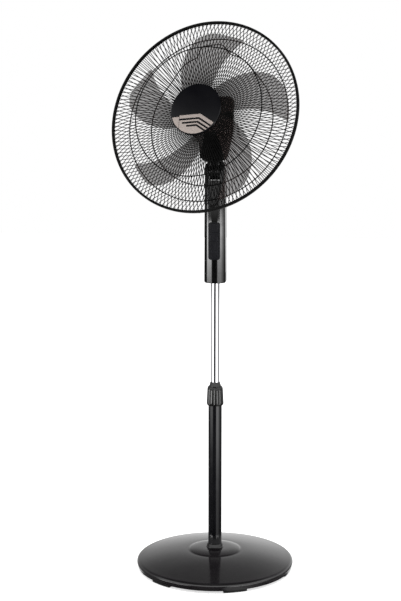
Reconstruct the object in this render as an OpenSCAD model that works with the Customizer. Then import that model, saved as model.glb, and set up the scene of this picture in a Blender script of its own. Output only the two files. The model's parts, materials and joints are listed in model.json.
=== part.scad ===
// Pedestal fan: round weighted base, telescopic column with a key panel, and a head
// that tilts and oscillates, with a wire guard 454 mm across.
// Origin on the floor under the column axis. +Z is up and the column's front looks along -Y.

/* [Base] */
// Outer diameter of the base
base_d = 373; // [340:1:400]
// Height of the base's raised centre disc
base_top = 50; // [44:1:60]
// Diameter of the raised centre disc
disc_d = 120; // [100:1:140]
// Height of the rubber feet
foot_h = 5; // [4:0.5:6]

/* [Column] */
// Outer diameter of the lower, fixed pole
outer_d = 32; // [30:1:36]
// Outer diameter of the upper, sliding pole
inner_d = 20; // [18:1:22]
// Height of the top of the fixed pole
outer_top = 443.5; // [400:0.5:450]
// Height of the lower edge of the key housing
housing_z = 690.5; // [680:0.5:720]
// Width of the key housing at its lower edge
housing_w = 50.7; // [48:0.1:54]
// Width of the key housing at the tilt pivot
housing_top_w = 45.6; // [44:0.1:48]
// Depth of the key housing, front to back
housing_depth = 52; // [50:1:56]

/* [Head] */
// Height of the tilt pivot above the floor
tilt_z = 945; // [940:1:955]
// Distance from the tilt pivot up to the motor axis
head_h = 105; // [104:1:110]
// Upward tilt of the head at rest, degrees
tilt_up = 22.8; // [0:0.1:30]
// Turn of the head towards -X at rest, degrees
turn_left = 15.2; // [0:0.1:30]
// Distance from the oscillation axis forward to the guard's rim
rim_z = 88.7; // [86:0.1:92]
// Outer diameter of the guard ring
guard_d = 454; // [450:1:462]
// Diameter of the badge in the middle of the front guard
badge_d = 120; // [110:1:124]
// Number of straight wires in each guard
guard_wires = 36; // [24:4:48]

/* [Impeller] */
// Number of blades
blades = 5; // [3:1:7]
// Pitch of the blades, degrees
blade_pitch = 22; // [15:1:24]
// Thickness of a blade
blade_t = 2; // [1.5:0.1:3]

/* [Hidden] */

$fn = 48;
eps = 0.01;
wall = 2.5;            // plastic shells
run = 0.05;            // radial clearance of a running fit
gap = 0.3;             // clearance between moving neighbours

base_r = base_d / 2;
disc_r = disc_d / 2;
rim_bottom = 6.5;      // lower edge of the base cover
rim_round = 8;         // rounding of the rim's upper edge
rim_top = 24;          // where the rounding meets the dome
dome_top = base_top - 5.5;
outer_r = outer_d / 2;
outer_wall = 2;
bore_r = outer_r - outer_wall;
inner_r = inner_d / 2;
inner_wall = 1.5;
weight_z = foot_h;
weight_t = 5;
weight_r = base_r - 6;
boss_z = weight_z + weight_t + 4;
screw_r = 4;

seam_z = housing_z + 24;         // joint between the foot band and the shells
rear_r = 12;                     // rear upright edges of the housing
corner_r = 16;                   // front upright edges
bow_r = 28;                      // bowed front between them
ear_r = 20;                      // rounded ears at the tilt pivot
slot_w = 26;                     // gap between the ears
slot_z = tilt_z - 17.6;
screw_z = tilt_z - 45;           // upper pair of housing screws
panel_z = 746;                   // lower edge of the key panel
panel_h = 87;
panel_w = 27.3;
panel_r = 6;
key_pitch = 20.7;
key_w = 21.4;
key_h = key_pitch - 0.6;
front_y = -housing_depth / 2;
bow_y = front_y + bow_r;
corner_x = housing_w / 2 - corner_r;
corner_dy = sqrt(pow(bow_r - corner_r, 2) - pow(corner_x, 2));

neck_r = 17;
socket_r = 12.5;
neck_collar_r = 20.5;             // collar that covers the ears
neck_top = 45;                   // top of the neck socket above the tilt pivot
post_r = 5;

split_z = 8;                     // joint between the two motor covers
cover_front = 33;
cover_rear = -55;
shaft_r = 4;
stator_r = 33;
rotor_r = 18;
core_z = 5;
core_l = 18;
wheel_x = 9.7;                   // worm wheel beside the shaft
gear_z = -13;
guard_r = guard_d / 2;
wire_t = 1.6;
hoop_r = guard_r - 4.6;          // rim hoops inside the ring's channel
ring_w = 8;

// ---- placing ----
module neck_frame() { translate([0, 0, tilt_z]) rotate([-tilt_up, 0, 0]) children(); }
module head_frame() {
    neck_frame() translate([0, 0, head_h]) rotate([0, 0, -turn_left]) children();
}
// x right, y up and z forwards along the motor axis, from the oscillation axis
module motor_axis() { head_frame() rotate([90, 0, 0]) children(); }
module repeat_round(n) { for (i = [0:n - 1]) rotate([0, 0, i * 360 / n]) children(); }
module tube(ro, ri, z0, z1) {
    translate([0, 0, z0]) difference() {
        cylinder(r = ro, h = z1 - z0);
        translate([0, 0, -1]) cylinder(r = ri, h = z1 - z0 + 2);
    }
}
module rod(r, z0, z1) { translate([0, 0, z0]) cylinder(r = r, h = z1 - z0); }
module block(x, y, z) {
    translate([x[0], y[0], z[0]]) cube([x[1] - x[0], y[1] - y[0], z[1] - z[0]]);
}

// ---- base ----
function disc_z(r) = base_top - 4.6 * pow(r / disc_r, 4);
function dome(r) = dome_top - (dome_top - rim_top) * pow((r - disc_r) / (base_r - rim_round - disc_r), 1.5);
dome_r = [for (i = [1:10]) disc_r + (base_r - rim_round - disc_r) * i / 10];
rim_arc = [for (a = [70:-20:-30]) [base_r - rim_round * (1 - cos(a)), rim_top - rim_round * (1 - sin(a))]];
module base_profile(t) {
    polygon(concat(
        [[outer_r + 2 * run, base_top - t]],
        [for (r = [24:6:54]) [r - t * 0.15, disc_z(r) - t]],
        [[disc_r - 1 - t * 0.4, disc_z(disc_r - 1) - t], [disc_r - t * 0.4, dome_top - t]],
        [for (r = dome_r) [r - t * 0.15, dome(r) - t]],
        [for (p = rim_arc) [p[0] - t, p[1] - t * 0.6]],
        [[base_r - 2 - t, rim_bottom - (t > 0 ? 1 : 0)], [outer_r + 2 * run, rim_bottom - (t > 0 ? 1 : 0)]]
    ));
}
module base_cover() {
    color("#0b0b0c") difference() {
        rotate_extrude($fn = 96) base_profile(0);
        rotate_extrude($fn = 96) base_profile(2.8);
    }
}
module base_weight() {
    color("#2a2a2c") difference() {
        union() {
            rod(weight_r, weight_z, weight_z + weight_t);
            rod(30, weight_z, boss_z);
        }
        rod(screw_r + 0.3, weight_z - 1, boss_z + 1);
    }
}
module rubber_feet() {
    color("#1a1a1a") repeat_round(6) rotate([0, 0, 52]) intersection() {
        tube(weight_r, weight_r - 14, 0, weight_z);
        rotate([0, 0, -9]) cube([base_r, base_r, foot_h]);
        rotate([0, 0, 9 - 90]) cube([base_r, base_r, foot_h]);
    }
}
module base_washer() { color("#b8b8ba") tube(15, screw_r + 0.2, weight_z - 1.2, weight_z); }
module base_screw() {
    color("#c6c6c8") union() {
        rod(screw_r, weight_z - 1.3, boss_z + 24);
        rod(7, weight_z - 4.2, weight_z - 1.2, $fn = 48);
    }
}
module pole_foot() { color("#8d8d90") tube(bore_r - 0.02, screw_r + run, boss_z, boss_z + 28); }
module pole_socket() {
    color("#0e0e0f") rotate_extrude() polygon([
        [outer_r + run, base_top + 0.02], [outer_r + 5, base_top + 0.02], [outer_r + 3.5, base_top + 2],
        [outer_r + 2, base_top + 9], [outer_r + run, base_top + 9]
    ]);
}
module outer_pole() { color("#111112") tube(outer_r, bore_r, boss_z, outer_top - 0.5); }
module pole_bush() {
    color("#161617") rotate_extrude() polygon([
        [inner_r + run, outer_top - 55], [bore_r - 0.02, outer_top - 55],
        [bore_r - 0.02, outer_top - 0.5], [outer_r - 1, outer_top - 0.5], [outer_r - 1, outer_top + 0.5],
        [outer_r - 2, outer_top + 0.5], [outer_r - 4.8, outer_top + 10], [inner_r + run, outer_top + 10]
    ]);
}
module lock_collar() {
    color("#0f0f10") difference() {
        union() {
            rotate_extrude() polygon([
                [outer_r + run, outer_top - 45.5], [outer_r + 2.7, outer_top - 45.5],
                [outer_r + 3.5, outer_top - 44], [outer_r + 1.2, outer_top - 2],
                [outer_r + 0.9, outer_top - 0.8], [outer_r + run, outer_top - 0.8]
            ]);
            repeat_round(10) intersection() {
                translate([outer_r + 0.6, 0, 0]) rod(3.4, outer_top - 41, outer_top - 4);
                rotate_extrude() polygon([
                    [outer_r, outer_top - 44], [outer_r + 4.6, outer_top - 44],
                    [outer_r + 2.2, outer_top - 1], [outer_r, outer_top - 1]
                ]);
            }
        }
        rod(outer_r + run, outer_top - 60, outer_top + 5);
    }
}

// ---- column ----
module inner_pole() { color("#c9c9cc") tube(inner_r, inner_r - inner_wall, 290, housing_z + 46); }
module pole_stop() {
    color("#d8d8d2") tube(bore_r - 0.08, inner_r + run, 292, 310);
}
module rounded_block(w, d, r, h) {
    linear_extrude(h) union() {
        square([w - 2 * r, d], center = true);
        square([w, d - 2 * r], center = true);
        for (x = [-1, 1], y = [-1, 1]) translate([x * (w / 2 - r), y * (d / 2 - r)]) circle(r);
    }
}
// Outline of the key housing: bowed front, flat sides and back, made smaller all round by t
module housing_2d(t) {
    intersection() {
        translate([0, bow_y]) circle(bow_r - t, $fn = 96);
        polygon([[0, bow_y], [-4 * corner_x, bow_y - 4 * corner_dy], [4 * corner_x, bow_y - 4 * corner_dy]]);
    }
    for (x = [-1, 1]) {
        translate([x * corner_x, bow_y - corner_dy]) circle(corner_r - t);
        translate([x * (housing_w / 2 - rear_r), -front_y - rear_r]) circle(rear_r - t);
    }
    translate([t - housing_w / 2, bow_y - corner_dy])
        square([housing_w - 2 * t, corner_dy - bow_y - front_y - rear_r]);
    translate([-corner_x, bow_y - corner_dy]) square([2 * corner_x, corner_dy - bow_y - front_y - t]);
}
// Solid of the key housing above the seam, made smaller all round by t
module housing_solid(t) {
    top_z = tilt_z + ear_r + 1;
    drop = t > 0 ? ear_r + 5 : 0;   // the hollow ends below the ears
    intersection() {
        translate([0, 0, seam_z + t]) linear_extrude(300) housing_2d(t);
        rotate([90, 0, 0]) linear_extrude(2 * housing_depth, center = true) polygon([
            [-housing_w / 2 + t + 0.4, seam_z], [housing_w / 2 - t - 0.4, seam_z],
            [housing_top_w / 2 - t, top_z], [-housing_top_w / 2 + t, top_z]
        ]);
        rotate([90, 0, 90]) linear_extrude(housing_w, center = true) union() {
            polygon([
                [front_y + t, seam_z], [-front_y - t, seam_z], [-front_y - t, tilt_z - 45],
                [ear_r - t, tilt_z - drop], [t - ear_r, tilt_z - drop], [front_y + t, tilt_z - 45]
            ]);
            if (t == 0) translate([0, tilt_z]) circle(ear_r);
        }
    }
}
module housing_shell() {
    difference() {
        housing_solid(0);
        difference() {
            translate([0, 0, -wall - 1]) housing_solid(wall);
            block([-30, 30], [-30, 30], [slot_z - wall, tilt_z + 40]);
        }
        block([-slot_w / 2, slot_w / 2], [-40, 40], [slot_z, tilt_z + 40]);
        translate([0, 0, tilt_z]) rotate([0, 90, 0]) {
            rod(screw_r + run, -40, 40);
            rod(8, housing_top_w / 2 - 5, 40);
            rod(8, -40, 5 - housing_top_w / 2);
        }
    }
}
// Upright plug with the outline of the key panel, made smaller all round by t
module panel_plug(t, y0, y1) {
    translate([0, y1, panel_z + panel_h / 2]) rotate([90, 0, 0])
        rounded_block(panel_w - 2 * t, panel_h - 2 * t, panel_r - t, y1 - y0);
}
// Cylinder that follows the bowed front, standing out from it by t
module bow(t) { translate([0, bow_y, 0]) rod(bow_r + t, panel_z - 5, panel_z + panel_h + 5, $fn = 96); }
module housing_front() {
    color("#09090a") difference() {
        intersection() {
            housing_shell();
            block([-40, 40], [-40, 0], [seam_z, tilt_z + 40]);
        }
        panel_plug(1, front_y - 5, front_y + 8);
    }
}
module screw_places() {
    for (x = [-14, 14], z = [seam_z + 14, screw_z]) translate([x, 0, z]) rotate([-90, 0, 0]) children();
}
module housing_rear() {
    color("#0d0d0e") difference() {
        intersection() {
            housing_shell();
            block([-40, 40], [0.02, 40], [seam_z, tilt_z + 40]);
        }
        screw_places() rod(2, 10, 40);
        translate([0, 0, seam_z + 14]) rotate([-90, 0, 0]) rod(2.6, 10, 40);
    }
}
module housing_screws() {
    color("#3a3a3c") screw_places() union() {
        rod(1.9, 12, -front_y + 0.5);
        rod(3.4, -front_y + 0.02, -front_y + 1.8);
    }
}
// The same outline as points, for the foot band
function arc(x, y, r, a0, a1, n) =
    [for (i = [1:n]) let (a = a0 + (a1 - a0) * i / n) [x + r * cos(a), y + r * sin(a)]];
bow_a = atan2(corner_x, corner_dy);
module foot_2d(t) {
    rear_x = housing_w / 2 - rear_r;
    polygon(concat(
        arc(0, bow_y, bow_r - t, -90 - bow_a, bow_a - 90, 20),
        arc(corner_x, bow_y - corner_dy, corner_r - t, bow_a - 90, 0, 6),
        arc(rear_x, -front_y - rear_r, rear_r - t, -15, 90, 7),
        arc(-rear_x, -front_y - rear_r, rear_r - t, 75, 180, 7),
        arc(-corner_x, bow_y - corner_dy, corner_r - t, 168, 270 - bow_a, 6)
    ));
}
module housing_foot() {
    color("#0b0b0c") difference() {
        union() {
            translate([0, 0, housing_z + 2]) linear_extrude(seam_z - housing_z - 2.02) foot_2d(0);
            translate([0, 0, housing_z]) linear_extrude(4) foot_2d(1.5);
        }
        rod(inner_r + run, housing_z - 1, seam_z + 1);
        difference() {
            translate([0, 0, housing_z + 6]) linear_extrude(30) foot_2d(3);
            rod(inner_r + 4, housing_z, seam_z);
        }
        translate([0, 0, housing_z + 12]) rotate([-90, 0, 0]) rod(5 + run, 15, 40);
    }
}
module pole_clamp() {
    color("#55565a") difference() {
        union() {
            rod(inner_r + 4, seam_z + 0.5, seam_z + 22);
            block([-6, 6], [inner_r, 19], [seam_z + 5, seam_z + 22]);
        }
        rod(inner_r + run, seam_z, seam_z + 30);
        translate([0, 0, seam_z + 14]) rotate([-90, 0, 0]) rod(2.5 + run, 5, 30);
    }
}
module clamp_screw() {
    color("#b4b4b8") translate([0, 0, seam_z + 14]) rotate([-90, 0, 0]) union() {
        rod(2.5, inner_r + 0.2, -front_y + 0.5);
        rod(4.4, -front_y + 0.02, -front_y + 2.6);
    }
}
module cord_gland() {
    color("#141414") translate([0, 0, housing_z + 12]) rotate([-90, 0, 0]) difference() {
        union() {
            rod(5, 19, -front_y + 1);
            rod(7, -front_y + 0.02, -front_y + 3);
        }
        rod(3.2, 15, 40);
    }
}
module key_bezel() {
    color("#2b2c2f") difference() {
        union() {
            intersection() {
                panel_plug(0, front_y - 3, front_y + 4);
                difference() {
                    bow(1.2);
                    bow(0.02);
                }
            }
            intersection() {
                panel_plug(1.1, front_y - 3, front_y + 6.5);
                bow(1.2);
            }
        }
        block([-key_w / 2 - gap, key_w / 2 + gap], [front_y - 5, front_y + 9],
              [key_z(0) - gap, key_z(3) + key_h + gap]);
    }
}
function key_z(i) = panel_z + 2.2 + i * key_pitch;
module key(i) {
    difference() {
        union() {
            intersection() {
                block([-key_w / 2, key_w / 2], [front_y - 4, front_y + 5], [key_z(i), key_z(i) + key_h]);
                bow(3.2);
            }
            translate([0, 0, key_z(i) + key_h / 2]) rotate([-90, 0, 0]) rod(2, front_y + 4, front_y + 14);
        }
        difference() {
            for (x = [-9:3:9])
                block([x - 0.5, x + 0.5], [front_y - 5, front_y + 2],
                      [key_z(i) + 1.5, key_z(i) + key_h - 1.5]);
            bow(2.6);
        }
    }
}
module key_off() { color("#3a3b3f") key(0); }
module key_low() { color("#3a3b3f") key(1); }
module key_medium() { color("#3a3b3f") key(2); }
module key_high() { color("#3a3b3f") key(3); }
module switch_block() {
    color("#d9d6c8") difference() {
        block([-11, 11], [front_y + 8.5, front_y + 24], [panel_z + 2, panel_z + panel_h - 2]);
        for (i = [0:3])
            translate([0, 0, key_z(i) + key_h / 2]) rotate([-90, 0, 0]) rod(2.3, front_y + 5, front_y + 19);
    }
}
module capacitor() {
    color("#e8e8e4") block([-13, 13], [-8, 8], [panel_z + panel_h + 12, panel_z + panel_h + 50]);
}

// ---- tilt joint and neck ----
module tilt_axis() { translate([0, 0, tilt_z]) rotate([0, 90, 0]) children(); }
module tilt_bolt() {
    color("#b0b0b4") tilt_axis() union() {
        rod(screw_r, 4.5 - housing_top_w / 2, housing_top_w / 2 - 4.9);
        rod(7, housing_top_w / 2 - 5, housing_top_w / 2 - 1);
    }
}
module tilt_nut() {
    color("#b0b0b4") tilt_axis() difference() {
        translate([0, 0, 1 - housing_top_w / 2]) cylinder(r = 7, h = 4, $fn = 6);
        rod(screw_r + 0.02, -housing_top_w / 2 + 3, 0);
        rod(2, -housing_top_w / 2 - 3, 0);
    }
}
module tilt_washers() {
    color("#c9c9c9") tilt_axis() for (s = [-1, 1])
        tube(9, screw_r + run, s * (slot_w / 2 - 0.5) - 0.45, s * (slot_w / 2 - 0.5) + 0.45);
}
module neck() {
    color("#0f0f10") neck_frame() difference() {
        union() {
            rotate([0, 90, 0]) rod(neck_r, 1.2 - slot_w / 2, slot_w / 2 - 1.2);
            rod(socket_r, 10, neck_top);
            rod(neck_collar_r, ear_r + 0.7, ear_r + 3.6);
        }
        rotate([0, 90, 0]) rod(screw_r + run, -20, 20);
        rod(post_r + run, 22, neck_top + 1);
    }
}
module pivot_washer() {
    color("#cfcfd2") neck_frame() tube(11, post_r + run + 0.02, neck_top + 0.02, neck_top + 1.1);
}

// ---- oscillation and gearbox ----
module pivot_post() { color("#a8a8ac") neck_frame() rod(post_r, 24, neck_top + 9); }
plate_y = neck_top + 1.2 - head_h;         // underside of the bracket's foot, below the motor axis
module pivot_bracket() {
    color("#7d7f83") motor_axis() difference() {
        union() {
            block([-11, 11], [plate_y, plate_y + 7], [-20, 11]);
            block([-8, 8], [plate_y + 6, plate_y + 11], [-31, -8]);
            block([-8, 8], [plate_y + 6, -15], [-31, -27]);
            block([-9, 9], [-19, -14.5], [-31, -1.5]);
        }
        rotate([-90, 0, 0]) rod(post_r + 0.02, plate_y - 1, plate_y + 8);
        translate([0, 0, gear_z]) rotate([-90, 0, 0]) rod(2.4, -25, -10);
    }
}
module gearbox_case() {
    color("#8b8c90") motor_axis() difference() {
        block([-9.5, 19], [-14.4, 12], [-24, -1.5]);
        block([-7.5, 17], [-12.2, 10], [-22, -3.5]);
        rod(shaft_r + 0.4, -10, 5);
        translate([0, 0, gear_z]) rotate([-90, 0, 0]) rod(2.4, -20, -5);
        translate([wheel_x, 0, gear_z]) rotate([-90, 0, 0]) rod(1.8, 5, 20);
        rod(1.9, -30, -21);
    }
}
tooth = [[-0.3, 0.7], [-0.14, 0], [0.14, 0], [0.3, 0.7]];   // [share of the pitch, depth]
module gear(r, n, h) {
    linear_extrude(h) polygon([
        for (i = [0:n - 1], p = tooth) (r - p[1]) * [cos((i + p[0]) * 360 / n), sin((i + p[0]) * 360 / n)]
    ]);
}
module worm_wheel() {
    color("#e6e2d6") motor_axis() translate([wheel_x, 0, gear_z]) rotate([-90, 0, 0]) union() {
        translate([0, 0, -2.5]) gear(6.4, 20, 5);
        rod(1.5, -12, 14);
        translate([0, 0, -11]) gear(2.4, 8, 4.5);
    }
}
module crank_gear() {
    color("#e6e2d6") motor_axis() translate([0, 0, gear_z]) rotate([-90, 0, 0]) union() {
        translate([0, 0, -10.8]) gear(6.9, 22, 4);
        rod(2, -26, -8);
        block([-3, 8], [-3, 3], [-24.5, -20.5]);
        translate([6, 0, 0]) rod(1.6, -29, -21);
    }
}
module oscillation_knob() {
    color("#101011") motor_axis() translate([wheel_x, 0, gear_z]) rotate([-90, 0, 0]) union() {
        rod(3, 20, 62);
        rotate_extrude() polygon([[0, 60.5], [8, 60.5], [7.4, 68], [6.4, 69], [0, 69]]);
    }
}

// ---- motor covers ----
module cover_outline(t) {
    hull() {
        circle(42 - t, $fn = 40);
        for (x = [-1, 1]) {
            translate([x * 32, 60]) circle(9 - t, $fn = 20);
            translate([x * 19, -69]) circle(12 - t, $fn = 20);
        }
    }
}
cover_mid = -6;        // centre of the outline between its top at 69 and its bottom at -81
module cover_slab(z, w, top, bottom, t) {
    translate([0, (top + bottom) / 2, z]) scale([w / 42, (top - bottom) / 150, 1])
        translate([0, -cover_mid, 0]) linear_extrude(eps) cover_outline(t);
}
module cover_front_solid(t) {
    hull() {
        cover_slab(split_z - t, 42, 69, -81, t);
        cover_slab(cover_front - 11, 42, 69, -81, t);
        cover_slab(cover_front - 3 - t, 39, 65, -77, t);
        cover_slab(cover_front - t, 34, 59, -71, t);
    }
}
module cover_rear_solid(t) {
    hull() {
        cover_slab(split_z, 42, 69, -81, t);
        cover_slab(-38, 22, 36, -50, t);
        cover_slab(cover_rear + 5, 15, 25, -33, t);
        cover_slab(cover_rear + t, 9, 15, -21, t);
    }
}
module neck_hole() { rotate([90, 0, 0]) rod(socket_r + 1, 50, 100); }
module motor_cover_front() {
    color("#0c0c0d") motor_axis() union() {
        difference() {
            cover_front_solid(0);
            cover_front_solid(wall);
            neck_hole();
            rod(9, 20, 50);
        }
        tube(20, 9, cover_front - wall, cover_front + 13);
    }
}
module motor_cover_rear() {
    color("#0c0c0d") motor_axis() difference() {
        cover_rear_solid(0);
        cover_rear_solid(wall);
        block([-60, 60], [-100, 100], [split_z - 0.02, split_z + 5]);
        neck_hole();
        rod(2.3, -70, -40);
        translate([wheel_x, 0, gear_z]) rotate([-90, 0, 0]) rod(3.4, 30, 80);
    }
}
module rear_cover_screw() {
    color("#6f6f72") motor_axis() union() {
        rod(1.8, cover_rear - 0.5, -22.5);
        rod(4, cover_rear - 2.4, cover_rear - 0.05);
    }
}

// ---- motor ----
module motor_screw_places() { repeat_round(4) rotate([0, 0, 45]) translate([30.6, 0, 0]) children(); }
module stator_core() {
    color("#5c5e62") motor_axis() difference() {
        tube(stator_r, rotor_r + 0.4, core_z, core_z + core_l);
        motor_screw_places() rod(1.6, 0, 40);
    }
}
module stator_windings() {
    color("#b4652b") motor_axis() union() {
        tube(28, 20.5, core_z - 3, core_z - 0.05);
        tube(28, 20.5, core_z + core_l + 0.05, core_z + core_l + 3);
    }
}
module bracket(z, s) {
    difference() {
        union() {
            tube(34.4, 7 + 0.02, min(z, z + s * 2), max(z, z + s * 2));
            tube(34.4, stator_r + 0.05, min(z, z - s * 7), max(z, z - s * 7));
        }
        motor_screw_places() rod(1.6, -10, 40);
    }
}
module front_bracket() { color("#9a9c9f") motor_axis() bracket(core_z + core_l + 3.1, 1); }
module rear_bracket() { color("#9a9c9f") motor_axis() bracket(core_z - 3.1, -1); }
module shaft_bearings() {
    color("#b08d57") motor_axis() union() {
        tube(7, shaft_r + run, core_z + core_l + 1, core_z + core_l + 6);
        tube(7, shaft_r + run, core_z - 6, core_z - 1);
    }
}
module motor_screws() {
    color("#b8b8bb") motor_axis() motor_screw_places() union() {
        rod(1.5, core_z - 5.5, core_z + core_l + 5);
        rod(2.8, core_z - 6.3, core_z - 5.15);
    }
}
module motor_shaft() { color("#c4c4c8") motor_axis() difference() {
    rod(shaft_r, -4, 104);
    translate([0, 0, 56]) rotate([90, 0, 0]) rod(1.5, -10, 10);
} }
module drive_worm() {
    color("#b9b9bd") motor_axis() rotate_extrude() polygon(concat(
        [[0, -4.02]], [for (i = [0:14]) [i % 2 == 0 ? 3 : 2.2, -4.1 - i]], [[2.2, -21], [0, -21]]));
}
module rotor_core() { color("#84868a") motor_axis() tube(rotor_r, shaft_r + 0.02, core_z, core_z + core_l); }
module drive_pin() {
    color("#d0d0d4") motor_axis() translate([0, 0, 56]) rotate([90, 0, 0]) rod(1.45, -8, 8);
}

// ---- impeller ----
// Edges of a blade as [radius, degrees clockwise from its radial line]
trailing_edge = [
    [26, -52], [60, -45], [107, -30], [140, -21], [165, -13.5], [183, -7], [192, -3], [196, 3]
];
leading_edge = [
    [198.5, 20], [197, 25], [171, 20.5], [139, 15], [110, 10.5], [90, 8], [60, 4], [26, 0]
];
function at_clock(p) = [p[0] * sin(p[1]), p[0] * cos(p[1])];
blade_mid_z = 84;      // middle of the blades ahead of the oscillation axis
module blade() {
    intersection() {
        translate([0, 0, 40]) linear_extrude(80)
            polygon([for (p = concat(trailing_edge, leading_edge)) at_clock(p)]);
        translate([-30, 96, blade_mid_z]) rotate([0, 0, -27]) rotate([0, blade_pitch, 0])
            translate([0, 0, 150]) rotate([90, 0, 0]) difference() {
                cylinder(r = 150 + blade_t / 2, h = 300, center = true, $fn = 96);
                cylinder(r = 150 - blade_t / 2, h = 302, center = true, $fn = 96);
            }
    }
}
module impeller() {
    color("#857a78") motor_axis() difference() {
        union() {
            tube(30, 27.5, 60, 94);
            rod(30, 92, 95);
            rod(9, 50, 95);
            repeat_round(blades) blade();
        }
        rod(shaft_r + 0.03, 40, 100);
        translate([0, 0, 56]) rotate([90, 0, 0]) rod(1.55, -10, 10);
        block([-1.55, 1.55], [-10, 10], [49, 56]);
        difference() {
            rod(27.5, 49, 92);
            rod(9, 48, 93);
        }
    }
}
module spinner_nut() {
    color("#141415") motor_axis() difference() {
        rotate_extrude() polygon([[0, 95.1], [13, 95.1], [12, 105], [9, 108], [0, 108]]);
        rod(shaft_r + 0.02, 90, 104.3);
    }
}

// ---- guards ----
// Paths of the wires as [radius, distance ahead of the oscillation axis]
front_path = [
    [52, 130.5], [110, 129], [152, 125], [180, 115], [200, 104], [213, 95],
    [219, rim_z + 1.6], [hoop_r, rim_z + 1.6]
];
rear_path = [
    [44, 35], [100, 35.6], [149, 38], [172, 48], [193, 63.5], [206, 75],
    [218, rim_z - 1.6], [hoop_r, rim_z - 1.6]
];
module guard_wire(path) {
    n = len(path) - 1;
    rotate([90, 0, 0]) linear_extrude(wire_t, center = true) polygon(concat(
        [for (p = path) [p[0], p[1] + wire_t / 2]],
        [for (i = [n:-1:0]) [path[i][0], path[i][1] - wire_t / 2]]
    ));
}
module hoop(r, z) { tube(r + 0.8, r - 0.8, z - 1, z + 1, $fn = 96); }
module rear_guard() {
    color("#151516") motor_axis() union() {
        tube(50, 20.4, 34, 36);
        repeat_round(guard_wires) guard_wire(rear_path);
        hoop(149, 38);
        hoop(193, 63.5);
        hoop(hoop_r, rim_z - 1.6);
    }
}
module front_guard() {
    color("#151516") motor_axis() union() {
        tube(56, 30, 129.4, 131.4);
        repeat_round(guard_wires) guard_wire(front_path);
        hoop(152, 125);
        hoop(hoop_r, rim_z + 1.6);
    }
}
module guard_nut() {
    color("#1a1a1b") motor_axis() union() {
        tube(27, 20.1, 36.1, 44);
        repeat_round(8) block([26, 31], [-3, 3], [36.1, 43]);
    }
}
module ring_screw_place() { translate([0, 2.5 - guard_r, rim_z]) children(); }
module guard_ring() {
    color("#0d0d0e") motor_axis() difference() {
        translate([0, 0, rim_z - ring_w / 2]) rotate_extrude($fn = 96) polygon([
            [guard_r - 5.6, 0], [guard_r - 1.5, 0], [guard_r, 1.5], [guard_r, ring_w - 1.5],
            [guard_r - 1.5, ring_w], [guard_r - 5.6, ring_w], [guard_r - 5.6, ring_w - 1],
            [guard_r - 1.2, ring_w - 1], [guard_r - 1.2, 1], [guard_r - 5.6, 1]
        ]);
        ring_screw_place() rod(1.03, -10, 10);
    }
}
module ring_screw() {
    color("#1c1c1d") motor_axis() ring_screw_place() union() {
        rod(1, -ring_w / 2 - 0.5, ring_w / 2 - 0.1);
        rod(2, -ring_w / 2 - 1.5, -ring_w / 2 - 0.02);
    }
}

// ---- badge ----
badge_back = 131.5;
badge_front = 137.5;
// Upper limit of the bright lower field, level on the left and slanting down on the right
module field_2d(drop) {
    bend = 12.5 - 0.315 * drop;
    polygon([[-60, -12.5 - drop], [bend, -12.5 - drop], [bend + 49.1, -46.9 - drop], [62, -90], [-60, -90]]);
}
module badge_insert_solid(r, z0, z1) {
    intersection() {
        rod(r, z0, z1);
        translate([0, 0, z0 - 1]) linear_extrude(z1 - z0 + 2) difference() {
            field_2d(0);
            translate([-62, -15.6]) square([24, 10]);
        }
    }
}
module badge() {
    color("#060607") motor_axis() difference() {
        rotate_extrude($fn = 96) polygon([
            [0, badge_back], [badge_d / 2 - 1, badge_back], [badge_d / 2, badge_back + 1],
            [badge_d / 2, badge_front - 2], [badge_d / 2 - 1.5, badge_front - 0.8], [0, badge_front - 0.8]
        ]);
        badge_insert_solid(badge_d / 2 - 2.4, badge_front - 2, badge_front + 1);
    }
}
bars = [[8.2, -38], [16.7, -31.5], [24.3, -20.3]];   // drop below the field's edge, left end
module badge_insert() {
    color("#b9aca2") motor_axis() difference() {
        badge_insert_solid(badge_d / 2 - 2.5, badge_front - 1.9, badge_front - 0.6);
        for (b = bars) translate([0, 0, badge_front - 1.4]) linear_extrude(3) difference() {
            intersection() {
                field_2d(b[0]);
                translate([b[1], -90]) square([110, 90]);
            }
            field_2d(b[0] + 3.1);
        }
    }
}

base_cover();
base_weight();
rubber_feet();
base_screw();
base_washer();
pole_foot();
pole_socket();
outer_pole();
pole_bush();
lock_collar();
inner_pole();
pole_stop();
housing_foot();
housing_front();
housing_rear();
housing_screws();
pole_clamp();
clamp_screw();
cord_gland();
key_bezel();
key_off();
key_low();
key_medium();
key_high();
switch_block();
capacitor();
tilt_bolt();
tilt_nut();
tilt_washers();
neck();
pivot_washer();
pivot_post();
pivot_bracket();
gearbox_case();
worm_wheel();
crank_gear();
motor_cover_front();
motor_cover_rear();
rear_cover_screw();
oscillation_knob();
stator_core();
stator_windings();
front_bracket();
rear_bracket();
shaft_bearings();
motor_screws();
motor_shaft();
drive_worm();
rotor_core();
drive_pin();
impeller();
spinner_nut();
rear_guard();
guard_nut();
front_guard();
guard_ring();
ring_screw();
badge();
badge_insert();
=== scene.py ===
import json
import math

import bmesh
import bpy
from mathutils import Matrix, Vector


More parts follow.
